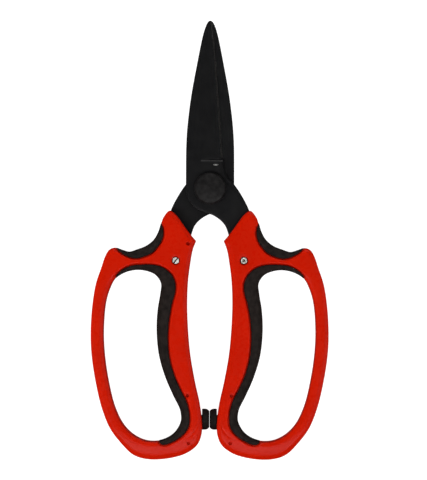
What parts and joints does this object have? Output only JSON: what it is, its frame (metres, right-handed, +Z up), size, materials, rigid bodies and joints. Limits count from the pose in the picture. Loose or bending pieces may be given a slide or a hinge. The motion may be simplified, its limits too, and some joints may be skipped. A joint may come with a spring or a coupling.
{
  "type": "floral snips",
  "caption": "Closed floral snips with narrow crossed black blades on a domed pivot and wide looped red handles with black soft grips and stop buttons.",
  "frame": {"origin": "on the pivot axis, in the plane that the snips rest on, at the end face of the pivot bolt", "axes": "+Y towards the blade tips, +X to the right as seen from the front, +Z up out of the rest plane, along the pivot axis towards the bolt's head"},
  "size_m": [0.1082, 0.2, 0.014],
  "materials": {
    "blade_coating": "satin low-friction coating",
    "red_shell": "semi-gloss moulded",
    "soft_grip": "fine matte texture",
    "bumper_rubber": "matte",
    "bright_steel": "bright, turned",
    "pivot_black": "matte black oxide"
  },
  "bodies": {
    "left_half": {"rear_blade": "blade_coating", "left_front_shell": "red_shell", "left_back_shell": "red_shell", "left_inner_grip": "soft_grip", "left_thumb_grip": "soft_grip", "left_bumper": "bumper_rubber", "left_barrel_nut": "bright_steel", "left_handle_screw": "bright_steel"},
    "right_half": {"front_blade": "blade_coating", "right_front_shell": "red_shell", "right_back_shell": "red_shell", "right_inner_grip": "soft_grip", "right_thumb_grip": "soft_grip", "right_bumper": "bumper_rubber", "right_barrel_nut": "bright_steel", "right_handle_screw": "bright_steel", "pivot_bolt": "pivot_black", "pivot_nut": "pivot_black", "head_washer": "pivot_black", "spring_washer": "bright_steel"}
  },
  "joints": [
    {"name": "blade_pivot", "type": "hinge", "parent": "left_half", "child": "right_half", "pos_m": [0, 0, 0.007], "axis": [0, 0, 1], "range_deg": [0, 50]}
  ]
}
